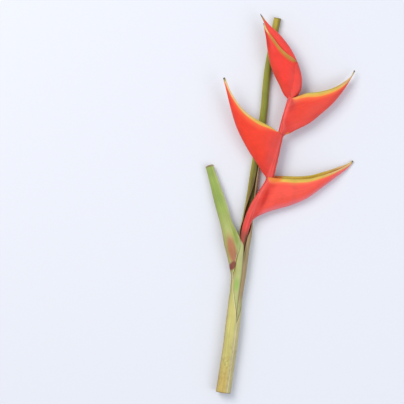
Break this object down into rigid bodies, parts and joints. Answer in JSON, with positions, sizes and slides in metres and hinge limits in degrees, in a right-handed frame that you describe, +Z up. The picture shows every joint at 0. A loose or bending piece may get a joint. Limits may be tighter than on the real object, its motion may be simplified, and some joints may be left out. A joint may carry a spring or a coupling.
{
  "type": "heliconia flower",
  "caption": "Cut heliconia stem lying down, with boat-shaped red bracts on a zigzag stalk, a leafy pseudostem and cut leaf petioles.",
  "frame": {"origin": "middle of the stem's box in plan, on the surface that it lies on", "axes": "+Y along the stem from its cut end to the flower, +X to the side of the lowest bract, +Z up from the surface"},
  "size_m": [0.2708, 0.6834, 0.0422],
  "materials": {
    "outer_leaf": "smooth fresh leaf sheath, yellow-green with long green ribs and a tan base",
    "inner_leaf": "smooth leaf sheath and petiole, olive green with long fine ribs",
    "stalk": "satin rose-red flower stalk",
    "bract": "waxy red bract that turns orange, yellow and olive at its margins",
    "flower": "waxy white-green flower bud"
  },
  "bodies": {
    "root": {"outer_leaf_sheath": "outer_leaf", "inner_leaf_sheath": "inner_leaf", "flower_stalk": "stalk", "bract_1_right": "bract", "bract_2_left": "bract", "bract_3_right": "bract", "bract_4_left": "bract", "bract_5_young": "bract", "flowers_1_right": "flower", "flowers_2_left": "flower", "flowers_3_right": "flower", "flowers_4_left": "flower"}
  },
  "joints": []
}
